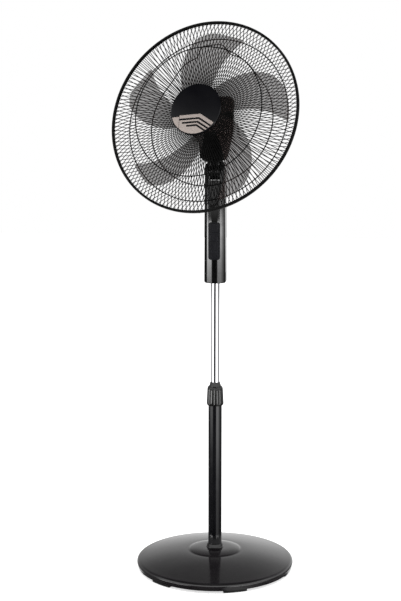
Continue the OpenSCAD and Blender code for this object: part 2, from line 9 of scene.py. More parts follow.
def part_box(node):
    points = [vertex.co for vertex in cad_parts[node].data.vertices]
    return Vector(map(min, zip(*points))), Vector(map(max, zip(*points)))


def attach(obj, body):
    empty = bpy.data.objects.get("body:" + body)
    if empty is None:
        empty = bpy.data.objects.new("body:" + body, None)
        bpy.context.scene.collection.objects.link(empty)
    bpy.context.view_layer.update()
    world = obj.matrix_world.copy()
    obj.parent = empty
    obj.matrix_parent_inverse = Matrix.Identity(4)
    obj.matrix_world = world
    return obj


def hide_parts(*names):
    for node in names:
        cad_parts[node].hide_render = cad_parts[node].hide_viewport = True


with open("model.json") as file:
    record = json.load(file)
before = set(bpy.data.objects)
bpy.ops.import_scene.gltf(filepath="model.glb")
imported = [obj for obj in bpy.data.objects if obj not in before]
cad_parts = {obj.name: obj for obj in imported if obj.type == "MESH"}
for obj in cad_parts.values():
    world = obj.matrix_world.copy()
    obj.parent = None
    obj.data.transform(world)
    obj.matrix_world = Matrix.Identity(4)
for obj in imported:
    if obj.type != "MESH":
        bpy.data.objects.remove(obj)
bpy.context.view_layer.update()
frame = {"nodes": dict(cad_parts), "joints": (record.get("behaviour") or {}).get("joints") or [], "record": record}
nodes = frame["nodes"]
joints = {j["name"]: j for j in frame["joints"]}
MM = 0.001


# ---- frames ----
# Head frame: x to the right, y up and z forwards along the motor axis, in millimetres,
# counted from the point where the motor axis meets the oscillation axis.
forward = Vector(joints["blade_spin"]["axis"])
up = Vector(joints["oscillation"]["axis"])
HEAD = Matrix((up.cross(forward), up, forward)).transposed().to_4x4()
HEAD.translation = Vector(joints["blade_spin"]["pos_m"])
HEAD = HEAD @ Matrix.Scale(MM, 4)
# Column frame: the row frame, in millimetres
COLUMN = Matrix.Scale(MM, 4)


# ---- materials ----
def principled(name):
    """A new material with its node tree and its shader."""
    mat = bpy.data.materials.new(name)
    mat.use_nodes = True
    tree = mat.node_tree
    shader = tree.nodes["Principled BSDF"]
    return mat, tree, shader


def noise(tree, scale, detail=3.0, stretch=(1, 1, 1)):
    """Noise in object space, stretched along the axes."""
    coords = tree.nodes.new("ShaderNodeTexCoord")
    mapping = tree.nodes.new("ShaderNodeMapping")
    mapping.inputs["Scale"].default_value = stretch
    texture = tree.nodes.new("ShaderNodeTexNoise")
    texture.inputs["Scale"].default_value = scale
    texture.inputs["Detail"].default_value = detail
    tree.links.new(coords.outputs["Object"], mapping.inputs["Vector"])
    tree.links.new(mapping.outputs["Vector"], texture.inputs["Vector"])
    return texture.outputs["Fac"]


def ramp(tree, value, low, high, start=0.35, end=0.65):
    """Colour or grey level that runs from low to high as value goes from start to end."""
    node = tree.nodes.new("ShaderNodeValToRGB")
    node.color_ramp.elements[0].position = start
    node.color_ramp.elements[1].position = end
    for element, level in zip(node.color_ramp.elements, (low, high)):
        element.color = (*level, 1) if hasattr(level, "__len__") else (level, level, level, 1)
    tree.links.new(value, node.inputs["Fac"])
    return node.outputs["Color"]


def bump(tree, shader, value, distance, strength=1.0):
    """Fine relief from a value, distance in metres."""
    node = tree.nodes.new("ShaderNodeBump")
    node.inputs["Distance"].default_value = distance
    node.inputs["Strength"].default_value = strength
    tree.links.new(value, node.inputs["Height"])
    tree.links.new(node.outputs["Normal"], shader.inputs["Normal"])


def plastic(name, dark, light, rough, grain=900, relief=0.00001, coat=0.0, specular=0.5):
    """Moulded plastic or paint: slight colour variation, uneven gloss and fine surface relief."""
    mat, tree, shader = principled(name)
    colour = ramp(tree, noise(tree, 18), dark, light)
    tree.links.new(colour, shader.inputs["Base Color"])
    gloss = ramp(tree, noise(tree, 60, 4), rough[0], rough[1])
    tree.links.new(gloss, shader.inputs["Roughness"])
    shader.inputs["Specular IOR Level"].default_value = specular
    shader.inputs["Coat Weight"].default_value = coat
    shader.inputs["Coat Roughness"].default_value = 0.04
    bump(tree, shader, noise(tree, grain, 2), relief)
    return mat


def metal(name, dark, light, rough, stretch=(1, 1, 1), grain=120, relief=0.000004):
    """Bare metal with a drawn or brushed grain along one axis."""
    mat, tree, shader = principled(name)
    grain_value = noise(tree, grain, 4, stretch)
    colour = ramp(tree, grain_value, dark, light)
    tree.links.new(colour, shader.inputs["Base Color"])
    gloss = ramp(tree, grain_value, rough[0], rough[1])
    tree.links.new(gloss, shader.inputs["Roughness"])
    shader.inputs["Metallic"].default_value = 1.0
    if relief:
        bump(tree, shader, grain_value, relief)
    return mat


def smoked_plastic():
    """Translucent grey-brown blade plastic, a little streaked by the moulding flow."""
    mat, tree, shader = principled("smoked_plastic")
    colour = ramp(tree, noise(tree, 14, 4), (0.034, 0.024, 0.023), (0.046, 0.034, 0.032))
    tree.links.new(colour, shader.inputs["Base Color"])
    gloss = ramp(tree, noise(tree, 90, 3), 0.16, 0.26)
    tree.links.new(gloss, shader.inputs["Roughness"])
    shader.inputs["Alpha"].default_value = 0.46
    shader.inputs["Specular IOR Level"].default_value = 0.2
    bump(tree, shader, noise(tree, 500, 2), 0.00001)
    return mat


MATERIALS = {
    "base_gloss": plastic("piano_black", (0.007, 0.006, 0.007), (0.011, 0.010, 0.011), (0.10, 0.15), 1400,
                          0.000003, 0.4),
    "column_gloss": plastic("column_black", (0.003, 0.003, 0.003), (0.005, 0.005, 0.005), (0.06, 0.10), 1400,
                            0.000002, 0.3),
    "head_gloss": plastic("head_black", (0.004, 0.004, 0.004), (0.007, 0.007, 0.007), (0.30, 0.40), 1200,
                          0.000004, 0, 0.05),
    "matte_black": plastic("textured_black", (0.005, 0.005, 0.005), (0.009, 0.009, 0.009), (0.09, 0.14), 1600,
                           0.000002, 0, 0.5),
    "key_plastic": plastic("key_plastic", (0.008, 0.008, 0.010), (0.016, 0.016, 0.019), (0.38, 0.50), 1800,
                           0.00002, 0, 0.10),
    "pole_paint": plastic("pole_paint", (0.004, 0.004, 0.005), (0.007, 0.007, 0.008), (0.06, 0.09), 1500,
                          0.000001),
    "pole_chrome": metal("pole_chrome", (0.80, 0.80, 0.82), (0.88, 0.88, 0.90), (0.04, 0.05), (40, 40, 1), 30,
                         0),
    "guard_wire": plastic("wire_coating", (0.003, 0.003, 0.003), (0.006, 0.006, 0.006), (0.35, 0.45), 900,
                          0.000002, 0, 0.05),
    "blade_smoke": smoked_plastic(),
    "badge_black": plastic("badge_black", (0.002, 0.002, 0.003), (0.004, 0.004, 0.005), (0.05, 0.08), 1400,
                           0.000001, 0.0, 0.18),
    "badge_silver": metal("badge_silver", (0.50, 0.43, 0.39), (0.66, 0.58, 0.54), (0.22, 0.32), (1, 60, 60),
                          60, 0.000004),
    "weight_iron": plastic("weight_paint", (0.02, 0.02, 0.021), (0.035, 0.035, 0.036), (0.5, 0.7), 500,
                           0.0002),
    "foot_rubber": plastic("foot_rubber", (0.010, 0.010, 0.010), (0.02, 0.02, 0.02), (0.7, 0.9), 900, 0.00006,
                           0, 0.2),
    "steel": metal("bright_steel", (0.48, 0.48, 0.50), (0.66, 0.66, 0.68), (0.22, 0.34), (1, 1, 12), 80),
    "black_screw": metal("black_oxide", (0.04, 0.04, 0.04), (0.08, 0.08, 0.08), (0.35, 0.5), (1, 1, 1), 200),
    "bracket_alloy": metal("cast_alloy", (0.40, 0.40, 0.42), (0.56, 0.56, 0.58), (0.42, 0.6), (1, 1, 1), 300,
                           0.00003),
    "core_steel": metal("laminations", (0.16, 0.16, 0.17), (0.30, 0.30, 0.31), (0.4, 0.55), (1, 1, 60), 60,
                        0.00003),
    "winding_copper": metal("enamelled_copper", (0.50, 0.19, 0.07), (0.72, 0.32, 0.13), (0.28, 0.4),
                            (1, 1, 1), 260, 0.00006),
    "bearing_bronze": metal("sintered_bronze", (0.42, 0.30, 0.14), (0.58, 0.44, 0.24), (0.35, 0.5), (1, 1, 1),
                            500),
    "gear_nylon": plastic("nylon", (0.66, 0.62, 0.54), (0.76, 0.72, 0.64), (0.4, 0.5), 900, 0.00001),
    "switch_white": plastic("switch_plastic", (0.62, 0.60, 0.53), (0.70, 0.68, 0.62), (0.4, 0.5), 900,
                            0.00001),
}

for part in frame["record"]["subparts"]:
    mesh = nodes[part["node"]].data
    mesh.materials.clear()
    mesh.materials.append(MATERIALS[part["material_slot"]])


# ---- mesh helpers ----
def piece(name, verts, faces, place, body, slot, replaces=(), smooth=True):
    """A new mesh piece, its points given in the frame that place maps to the row frame."""
    mesh = bpy.data.meshes.new(name)
    mesh.from_pydata([place @ Vector(v) for v in verts], [], faces)
    bm = bmesh.new()
    bm.from_mesh(mesh)
    bmesh.ops.recalc_face_normals(bm, faces=bm.faces)
    bm.to_mesh(mesh)
    bm.free()
    mesh.materials.append(MATERIALS[slot])
    obj = bpy.data.objects.new(name, mesh)
    bpy.context.scene.collection.objects.link(obj)
    mesh.shade_smooth() if smooth else mesh.shade_flat()
    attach(obj, body)
    if replaces:
        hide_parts(*replaces)
    return obj


BODY_OF = {node: body for body, members in frame["record"]["behaviour"]["bodies"].items() for node in members}
SLOT_OF = {part["node"]: part["material_slot"] for part in frame["record"]["subparts"]}


def refined(node, width, steps=3, angle=30):
    """The outside of a node with its edges rounded by width millimetres, in place of the node."""
    source = nodes[node]
    mesh = source.data.copy()
    mesh.name = node + "_rounded"
    mesh.transform(source.matrix_world)
    bm = bmesh.new()
    bm.from_mesh(mesh)
    bmesh.ops.remove_doubles(bm, verts=bm.verts, dist=0.000002)
    bmesh.ops.dissolve_limit(bm, angle_limit=math.radians(0.6), verts=bm.verts, edges=bm.edges)
    sharp = [e for e in bm.edges if len(e.link_faces) == 2 and e.calc_face_angle(0) > math.radians(angle)]
    bmesh.ops.bevel(bm, geom=sharp, offset=width * MM, offset_type="OFFSET", segments=steps, profile=0.5,
                    affect="EDGES", clamp_overlap=True, loop_slide=True)
    bm.to_mesh(mesh)
    bm.free()
    obj = bpy.data.objects.new(node + "_rounded", mesh)
    bpy.context.scene.collection.objects.link(obj)
    mesh.materials.clear()
    mesh.materials.append(MATERIALS[SLOT_OF[node]])
    mesh.shade_smooth()
    mesh.set_sharp_from_angle(angle=math.radians(40))
    weighted = obj.modifiers.new("weighted_normals", "WEIGHTED_NORMAL")
    weighted.keep_sharp = True
    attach(obj, BODY_OF[node])
    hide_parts(node)
    return obj


def sharpen(obj, angle=35):
    """Smooth shading with sharp edges kept where faces meet at more than angle."""
    obj.data.set_sharp_from_angle(angle=math.radians(angle))
    return obj


def fillet(points, radii, steps=6):
    """A closed outline with its corners rounded to radii."""
    out = []
    n = len(points)
    for i, (p, r) in enumerate(zip(points, radii)):
        p, a, b = Vector(p), Vector(points[i - 1]), Vector(points[(i + 1) % n])
        if r <= 0:
            out.append(tuple(p))
            continue
        to_a, to_b = (a - p).normalized(), (b - p).normalized()
        half = to_a.angle(to_b) / 2
        if half > math.radians(88):
            out.append(tuple(p))
            continue
        reach = min(r / math.tan(half), (a - p).length * 0.49, (b - p).length * 0.49)
        radius = reach * math.tan(half)
        centre = p + (to_a + to_b).normalized() * (radius / math.sin(half))
        first, last = p + to_a * reach - centre, p + to_b * reach - centre
        for k in range(steps + 1):
            out.append(tuple(centre + first.slerp(last, k / steps).normalized() * radius))
    return out


def lathe(outline, sides=128):
    """Verts and faces of a closed outline of (radius, z) turned round z."""
    n = len(outline)
    verts, faces = [], []
    for k in range(sides):
        a = 2 * math.pi * k / sides
        verts += [(r * math.cos(a), r * math.sin(a), z) for r, z in outline]
    for k in range(sides):
        for i in range(n):
            a, b = k * n + i, k * n + (i + 1) % n
            c, d = ((k + 1) % sides) * n + (i + 1) % n, ((k + 1) % sides) * n + i
            faces.append((a, b, c, d))
    return verts, faces


def turned(name, points, radii, place, body, slot, replaces=(), sides=128):
    """A turned piece with rounded edges."""
    return sharpen(piece(name, *lathe(fillet(points, radii), sides), place, body, slot, replaces), 40)


def smooth_path(points, steps=5):
    """A Catmull-Rom curve through the points."""
    out = []
    ext = [points[0]] + list(points) + [points[-1]]
    for i in range(1, len(ext) - 2):
        p0, p1, p2, p3 = (Vector(ext[i + k]) for k in (-1, 0, 1, 2))
        for k in range(steps):
            t = k / steps
            out.append(0.5 * ((2 * p1) + (p2 - p0) * t + (2 * p0 - 5 * p1 + 4 * p2 - p3) * t * t
                              + (3 * p1 - p0 - 3 * p2 + p3) * t * t * t))
    out.append(Vector(points[-1]))
    return out


def sweep(path, radius, sides=6, closed=False, start=0):
    """Verts and faces of a round wire along path, first vertex number start."""
    verts, faces = [], []
    n = len(path)
    reference = Vector((0.31, 0.17, 0.93))
    for i, p in enumerate(path):
        before = path[i - 1] if closed or i else path[0]
        after = path[(i + 1) % n] if closed or i < n - 1 else path[-1]
        tangent = (after - before).normalized()
        side = tangent.cross(reference).normalized()
        other = tangent.cross(side)
        for k in range(sides):
            a = 2 * math.pi * k / sides
            verts.append(p + (side * math.cos(a) + other * math.sin(a)) * radius)
    for i in range(n if closed else n - 1):
        j = (i + 1) % n
        for k in range(sides):
            m = (k + 1) % sides
            faces.append(tuple(start + v for v in (i * sides + k, i * sides + m, j * sides + m,
                                                   j * sides + k)))
    if not closed:
        faces.append(tuple(start + k for k in range(sides)))
        faces.append(tuple(start + (n - 1) * sides + k for k in reversed(range(sides))))
    return verts, faces


def wires(name, runs, place, body, slot, replaces=()):
    """One piece made of many round wires. runs is a list of (path, radius, sides, closed)."""
    verts, faces = [], []
    for path, radius, sides, closed in runs:
        v, f = sweep(path, radius, sides, closed, len(verts))
        verts += v
        faces += f
    return piece(name, verts, faces, place, body, slot, replaces)


def circle_path(r, z, n=144):
    return [Vector((r * math.cos(2 * math.pi * k / n), r * math.sin(2 * math.pi * k / n),
                    z)) for k in range(n)]


# ---- sizes from the frame, in millimetres ----
def size_of(node):
    low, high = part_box(node)
    return (high - low) / MM


def low_of(node):
    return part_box(node)[0] / MM


def high_of(node):
    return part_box(node)[1] / MM


base_r = size_of("base_cover").x / 2
rim_bottom = low_of("base_cover").z
base_top = high_of("base_cover").z
outer_r = size_of("outer_pole").x / 2
inner_r = size_of("inner_pole").x / 2
collar_low, collar_high = low_of("lock_collar").z, high_of("lock_collar").z


# ---- base ----
def base_cover():
    """Dome with a rolled rim and a raised centre disc, hollow below."""
    disc_r, round_r = 60.0, 8.0
    dome_top, rim_top = base_top - 5.5, 24.0
    span = base_r - round_r - disc_r
    dome = [(disc_r + span * i / 20, dome_top - (dome_top - rim_top) * (i / 20) ** 1.5) for i in range(1, 20)]
    rim = []
    for d in range(78, -33, -6):
        a = math.radians(d)
        rim.append((base_r - round_r * (1 - math.cos(a)), rim_top - round_r * (1 - math.sin(a))))
    centre = [(outer_r + 0.3, base_top)] + [(r, base_top - 4.6 * (r / disc_r) ** 4) for r in range(22, 58, 3)]
    centre += [(disc_r - 1.6, base_top - 4.2), (disc_r - 0.5, base_top - 4.6), (disc_r, base_top - 5.1),
               (disc_r + 0.8, dome_top - 0.1)]
    under = [(base_r - 2, rim_bottom), (base_r - 4.6, rim_bottom), (base_r - 4.8, rim_top - 8),
             (base_r - 14, rim_top - 5),
             (disc_r + 6, dome_top - 6), (outer_r + 0.3, base_top - 4)]
    outline = centre + dome + rim + under
    return sharpen(piece("base_shell", *lathe(outline, 256), COLUMN, "base", "base_gloss", ["base_cover"]),
                   55)


def pole_socket():
    z = low_of("pole_socket").z
    top = high_of("pole_socket").z
    return turned("pole_socket_ring", [(outer_r + 0.05, z), (outer_r + 5, z), (outer_r + 3.4, z + 2.2),
                                       (outer_r + 2, top), (outer_r + 0.05, top)],
                  [0, 0.5, 3, 0.9, 0], COLUMN, "base", "column_gloss", ["pole_socket"])


def poles():
    low, high = low_of("outer_pole").z, high_of("outer_pole").z
    turned("outer_pole_tube", [(outer_r - 2, low), (outer_r, low), (outer_r, low + 2), (outer_r, high - 2),
                               (outer_r, high), (outer_r - 2, high)],
           [0, 0.4, 0, 0, 0.6, 0], COLUMN, "base", "pole_paint", ["outer_pole"])
    low, high = low_of("inner_pole").z, high_of("inner_pole").z
    turned("inner_pole_tube", [(inner_r - 1.5, low), (inner_r, low), (inner_r, low + 2), (inner_r, high - 2),
                               (inner_r, high), (inner_r - 1.5, high)],
           [0, 0.3, 0, 0, 0.3, 0], COLUMN, "column", "pole_chrome", ["inner_pole"])
    top = high_of("pole_bush").z
    seat = top - 10
    turned("pole_bush_ring", [(inner_r + 0.05, seat - 55), (outer_r - 2.02, seat - 55),
                              (outer_r - 2.02, seat - 0.5),
                              (outer_r - 1, seat - 0.5), (outer_r - 1, seat + 0.5), (outer_r - 2, seat + 0.5),
                              (outer_r - 4.8, top), (inner_r + 0.05, top)],
           [0, 0, 0, 0, 0.3, 0.3, 1.0, 0], COLUMN, "base", "matte_black", ["pole_bush"])


def lock_collar():
    """Tapered sleeve with ten rounded grip ribs."""
    ribs, levels, sides = 10, 22, 240
    outline = []
    for i in range(levels + 1):
        t = i / levels
        z = collar_low + (collar_high - collar_low) * t
        outline.append((outer_r + 3.6 - 2.3 * t, z, min(1, t * 9) * min(1, (1 - t) * 7)))
    verts, faces = [], []
    for r, z, depth in outline:
        for k in range(sides):
            a = 2 * math.pi * k / sides
            wave = abs(math.cos(ribs * a / 2)) ** 0.7
            edge = 1.2 if z < collar_low + 1.2 else 0.6
            rr = r + depth * (1.5 * wave - 0.6) - (edge * max(0, 1 - (z - collar_low) / 1.2) ** 2)
            rr -= 1.0 * max(0, 1 - (collar_high - z) / 1.5) ** 2
            verts.append((rr * math.cos(a), rr * math.sin(a), z))
    inner = outer_r + 0.06
    for z in (collar_high, collar_low):
        for k in range(sides):
            a = 2 * math.pi * k / sides
            verts.append((inner * math.cos(a), inner * math.sin(a), z))
    rows = levels + 3
    for i in range(rows):
        for k in range(sides):
            m = (k + 1) % sides
            j = (i + 1) % rows
            faces.append((i * sides + k, i * sides + m, j * sides + m, j * sides + k))
    return sharpen(piece("lock_collar_sleeve", verts, faces, COLUMN, "collar", "matte_black",
                         ["lock_collar"]), 50)


# ---- guards ----
WIRES = 144
FRONT_PATH = [(50, 130.6), (80, 130.2), (115, 129), (152, 125), (180, 115), (200, 104), (213, 95),
              (219, 90.8), (222.4, 90.4)]
REAR_PATH = [(44, 35.4), (70, 35.4), (110, 36), (149, 38), (172, 48), (193, 63), (206, 75), (217, 86),
             (222.4, 87)]
WIRE_R = 0.9
HOOP_R = 1.3
rim_z = 88.7
guard_r = 227.0


def along(table, r):
    """Linear reading of a table of (radius, value)."""
    for (r0, v0), (r1, v1) in zip(table, table[1:]):
        if r <= r1:
            return v0 + (v1 - v0) * (r - r0) / (r1 - r0)
    return table[-1][1]


def smooth_reading(table, r, spread=9):
    return sum(along(table, max(table[0][0], min(table[-1][0], r + d))) for d in (-spread, 0, spread)) / 3


def radial_wires(path, n, phase=0.0):
    """n straight radial wires along a path of (radius, z)."""
    runs = []
    curve = smooth_path([(r, z, 0) for r, z in path], 4)
    for k in range(n):
        a = 2 * math.pi * (k + phase) / n
        runs.append(([Vector((p.x * math.cos(a), p.x * math.sin(a), p.y)) for p in curve], WIRE_R, 6, False))
    return runs


def hoop(r, z, wire=HOOP_R):
    return circle_path(r, z, 180), wire, 8, True


def front_guard():
    runs = radial_wires(FRONT_PATH, WIRES)
    runs += [hoop(152, 123.2), hoop(52, 129.6), hoop(222.4, 90.2, 1.0)]
    return wires("front_guard_cage", runs, HEAD, "head", "guard_wire", ["front_guard"])


def arched_hoop():
    """Hoop behind the wires that widens near the top and steps out in a small arch there."""
    steps = [(0, 183), (8, 183), (10.5, 178), (12.5, 168), (15, 165), (24, 164), (33, 158), (42, 151),
             (50, 149), (180, 149)]
    path = []
    for k in range(360):
        angle = (k + 180) % 360 - 180
        r = smooth_reading(steps, abs(angle), 1.5)
        a = math.radians(90 - angle)
        path.append(Vector((r * math.cos(a), r * math.sin(a), along(REAR_PATH, r) + 1.9)))
    return path, HOOP_R, 8, True


def rear_guard():
    runs = radial_wires(REAR_PATH, WIRES, 0.5)
    runs += [arched_hoop(), hoop(193, 65), hoop(222.4, 87.2, 1.0), hoop(48, 34.6)]
    return wires("rear_guard_cage", runs, HEAD, "head", "guard_wire", ["rear_guard"])


def guard_plates():
    turned("rear_guard_plate", [(20.4, 34), (50, 34), (51, 36), (46, 36.2), (40, 35), (20.4, 35)],
           [0, 0.4, 0.4, 1, 1, 0],
           HEAD, "head", "guard_wire")
    turned("front_guard_plate", [(26, 129.4), (54, 129.4), (54, 131.4), (26, 131.4)], [0, 0.4, 0.4, 0],
           HEAD, "head", "guard_wire")


def guard_ring():
    """Trim ring: a channel that holds both rims, with a rounded outer face."""
    w, inner = 4.0, guard_r - 5.6
    outline = [(inner, rim_z - w), (guard_r - 1.4, rim_z - w), (guard_r, rim_z - w + 1.6),
               (guard_r, rim_z + w - 1.6),
               (guard_r - 1.4, rim_z + w), (inner, rim_z + w), (inner, rim_z + w - 1),
               (guard_r - 1.2, rim_z + w - 1), (guard_r - 1.2, rim_z - w + 1), (inner, rim_z - w + 1)]
    return turned("guard_trim_ring", outline, [0.4, 1.2, 1.2, 1.2, 1.2, 0.4, 0.3, 0.4, 0.4, 0.3],
                  HEAD, "head", "head_gloss", ["guard_ring"], 288)


# ---- impeller ----
TRAILING = [(26, -52), (60, -45), (107, -30), (140, -21), (165, -13.5), (183, -7), (199, -1)]
LEADING = [(26, 0), (60, 4), (90, 8), (110, 10.5), (139, 15), (171, 20.5), (199, 25.5)]
BLADES = 5
TIP_R = 198.5


def blade_surface(r, s):
    """Point of the blade's middle surface at radius r.

    s runs from the trailing edge (0) to the leading edge (1).
    """
    a = math.radians(smooth_reading(TRAILING, r) + (smooth_reading(LEADING, r) - smooth_reading(TRAILING,
                                                                                                r)) * s)
    depth = 30 + 6 * (1 - (r - 26) / 172)
    z = 83 + depth * (0.5 - s) - 7 * 4 * s * (1 - s) * min(1, r / 120) + 2.5
    return Vector((r * math.sin(a), r * math.cos(a), z))


def impeller():
    verts, faces = [], []
    across, outwards, thick = 22, 30, 1.1
    for b in range(BLADES):
        turn = Matrix.Rotation(-2 * math.pi * b / BLADES, 3, "Z")
        sides = []
        for layer in (1, -1):
            grid = []
            for i in range(outwards + 1):
                row = []
                for j in range(across + 1):
                    s = j / across
                    # the tip's trailing corner is rounded, its leading corner is sharp
                    reach = TIP_R - 15 * max(0, 1 - s / 0.3) ** 2.2 - 1.5 * max(0, (s - 0.9) / 0.1) ** 2
                    r = 28 + (reach - 28) * i / outwards
                    p = blade_surface(r, s)
                    du = blade_surface(min(r + 1, TIP_R), s) - blade_surface(r - 1, s)
                    dv = blade_surface(r, min(1, s + 0.02)) - blade_surface(r, max(0, s - 0.02))
                    normal = du.cross(dv).normalized()
                    edge = min(1, 4 * min(s, 1 - s) + 0.35, 3 * (outwards - i) / outwards + 0.35)
                    verts.append(turn @ (p + normal * layer * thick * edge))
                    row.append(len(verts) - 1)
                grid.append(row)
            sides.append(grid)
        for layer, grid in enumerate(sides):
            for i in range(outwards):
                for j in range(across):
                    quad = (grid[i][j], grid[i][j + 1], grid[i + 1][j + 1], grid[i + 1][j])
                    faces.append(quad if layer == 0 else quad[::-1])
        top, low = sides
        rim = [(i, 0) for i in range(outwards)] + [(outwards, j) for j in range(across)]
        rim += [(i, across) for i in range(outwards, 0, -1)] + [(0, j) for j in range(across, 0, -1)]
        for (i, j), (m, n) in zip(rim, rim[1:] + rim[:1]):
            faces.append((top[i][j], top[m][n], low[m][n], low[i][j]))
    hub_outline = fillet([(4.03, 50), (9, 50), (9, 91), (27.5, 91), (27.5, 60), (30, 60), (30, 95),
                          (4.03, 95)],
                         [0, 0.8, 2, 2, 0.5, 0.5, 3, 0])
    hub_verts, hub_faces = lathe(hub_outline, 96)
    start = len(verts)
    verts += [Vector(v) for v in hub_verts]
    faces += [tuple(start + v for v in f) for f in hub_faces]
    return sharpen(piece("impeller_blades", verts, faces, HEAD, "rotor", "blade_smoke", ["impeller"]), 50)


# ---- badge ----
BADGE_R = 60.0
BADGE_FRONT = 136.8
FIELD_TOP = -12.5
FIELD_BEND = 12.5
FIELD_SLOPE = math.radians(35)


def field_edge(drop):
    """Upper edge of the bright field lowered by drop: level on the left, slanting down on the right."""
    x = FIELD_BEND - drop * math.tan(FIELD_SLOPE / 2)
    y = FIELD_TOP - drop
    return [(-80, y), (x, y), (x + 90 * math.cos(FIELD_SLOPE), y - 90 * math.sin(FIELD_SLOPE))]


def edge_height(x, drop):
    (x0, y0), (x1, y1), (x2, y2) = field_edge(drop)
    return y0 if x <= x1 else y1 + (y2 - y1) * (x - x1) / (x2 - x1)


def band(name, top_drop, low_drop, left, r, z0, z1, slot, replaces=(), right=80):
    """A plate between two lowered field edges, cut off at x = left and by the circle r."""
    columns = []
    n = 120
    for k in range(n + 1):
        x = -r + 2 * r * k / n
        if x < left or x > right:
            continue
        chord = math.sqrt(max(0, r * r - x * x))
        high = min(chord, edge_height(x, top_drop))
        low = -chord if low_drop is None else max(-chord, edge_height(x, low_drop))
        if high - low > 0.05:
            columns.append((x, low, high))
    verts, faces = [], []
    for x, low, high in columns:
        verts += [(x, low, z0), (x, high, z0), (x, high, z1), (x, low, z1)]
    for k in range(len(columns) - 1):
        a, b = 4 * k, 4 * k + 4
        faces += [(a + 3, a + 2, b + 2, b + 3), (a + 1, a, b, b + 1), (a + 2, a + 1, b + 1, b + 2),
                  (a, a + 3, b + 3, b)]
    faces += [(0, 1, 2, 3), tuple(4 * (len(columns) - 1) + k for k in (3, 2, 1, 0))]
    return piece(name, verts, faces, HEAD, "head", slot, replaces, smooth=False)


def badge():
    domed = [(r, BADGE_FRONT - 1.6 * (r / BADGE_R) ** 2) for r in (50, 40, 30, 20, 10, 0.01)]
    points = [(0.01, 131.5), (BADGE_R - 1, 131.5), (BADGE_R, 132.5), (BADGE_R, BADGE_FRONT - 2.8),
              (BADGE_R - 1.4, BADGE_FRONT - 1.5)]
    radii = [0, 0.4, 0.4, 0.8, 0.8] + [0] * len(domed)
    turned("badge_disc", points + domed, radii, HEAD, "head", "badge_black", ["badge"], 192)
    top = BADGE_FRONT + 0.1
    band("badge_field", 0, None, -38, 57.5, BADGE_FRONT - 2.6, top, "badge_silver", replaces=["badge_insert"])
    band("badge_field_left", 3.1, None, -80, 57.5, BADGE_FRONT - 2.6, top, "badge_silver", right=-37.5)
    for i, (drop, left) in enumerate(((7.6, -38), (16.0, -31.5), (23.7, -20.3))):
        band(f"badge_groove_{i + 1}", drop, drop + 4.3, left, 57.3, BADGE_FRONT - 2.6, top + 0.08,
             "badge_black")


# ---- motor covers ----
COVER_HALF_WIDTH = 42
COVER_HEIGHT = 150
COVER_DROP = 6
COVER_CIRCLES = [(0, 0, 42), (32, 60, 9), (-32, 60, 9), (19, -69, 12), (-19, -69, 12)]


def cover_outline(count):
    """The outline round the circles, as evenly spaced points."""
    dense = []
    for k in range(1440):
        a = 2 * math.pi * k / 1440
        c, s = math.cos(a), math.sin(a)
        x, y, r = max(COVER_CIRCLES, key=lambda q: q[0] * c + q[1] * s + q[2])
        dense.append(Vector((x + r * c, y + r * s)))
    steps = [(dense[(k + 1) % len(dense)] - p).length for k, p in enumerate(dense)]
    total, out, walked, k = sum(steps), [], 0.0, 0
    for i in range(count):
        goal = total * i / count
        while walked + steps[k] < goal:
            walked += steps[k]
            k += 1
        out.append(dense[k].lerp(dense[(k + 1) % len(dense)], (goal - walked) / max(steps[k], 1e-9)))
    return out


def cover_loft(name, sections, body, slot, replaces):
    """A closed skin through sections of (z, half width, top, bottom)."""
    sides = 128
    verts, faces = [], []
    outline = cover_outline(sides)
    for z, w, top, bottom in sections:
        for p in outline:
            y = (p.y + COVER_DROP) * (top - bottom) / COVER_HEIGHT + (top + bottom) / 2
            verts.append((p.x * w / COVER_HALF_WIDTH, y, z))
    for i in range(len(sections) - 1):
        for k in range(sides):
            m = (k + 1) % sides
            faces.append((i * sides + k, i * sides + m, (i + 1) * sides + m, (i + 1) * sides + k))
    faces.append(tuple(range(sides)))
    faces.append(tuple((len(sections) - 1) * sides + k for k in reversed(range(sides))))
    return sharpen(piece(name, verts, faces, HEAD, body, slot, replaces), 40)


def motor_covers():
    front = [(8.3, 40.6, 67.6, -79.6), (8.6, 42, 69, -81), (14, 42, 69, -81), (22, 41.8, 68.8, -80.8),
             (27, 40.6, 67.2, -79.4),
             (30.5, 38, 64, -76.5), (32.4, 35, 60.5, -73), (33, 31, 56, -69)]
    cover_loft("motor_cover_front_skin", front, "head", "head_gloss", ["motor_cover_front"])
    rear = [(7.7, 41.8, 68.8, -80.8), (7.2, 42, 69, -81), (0, 39.4, 64.4, -77), (-10, 35.2, 57, -70.5),
            (-20, 30.8, 49.6, -63.5),
            (-30, 26.2, 42, -56), (-38, 22.2, 35.6, -49.4), (-44, 19, 30, -42), (-49, 15.6, 24.6,
                                                                                 -34.5), (-52.5, 12, 19,
                                                                                          -26.6),
            (-54.4, 8.6, 14, -19.6), (-55, 5, 8, -11)]
    cover_loft("motor_cover_rear_skin", rear, "head", "head_gloss", ["motor_cover_rear"])
    turned("guard_boss", [(9, 31), (20, 31), (20, 46), (9, 46)], [0, 0, 1, 0.5], HEAD, "head", "head_gloss")


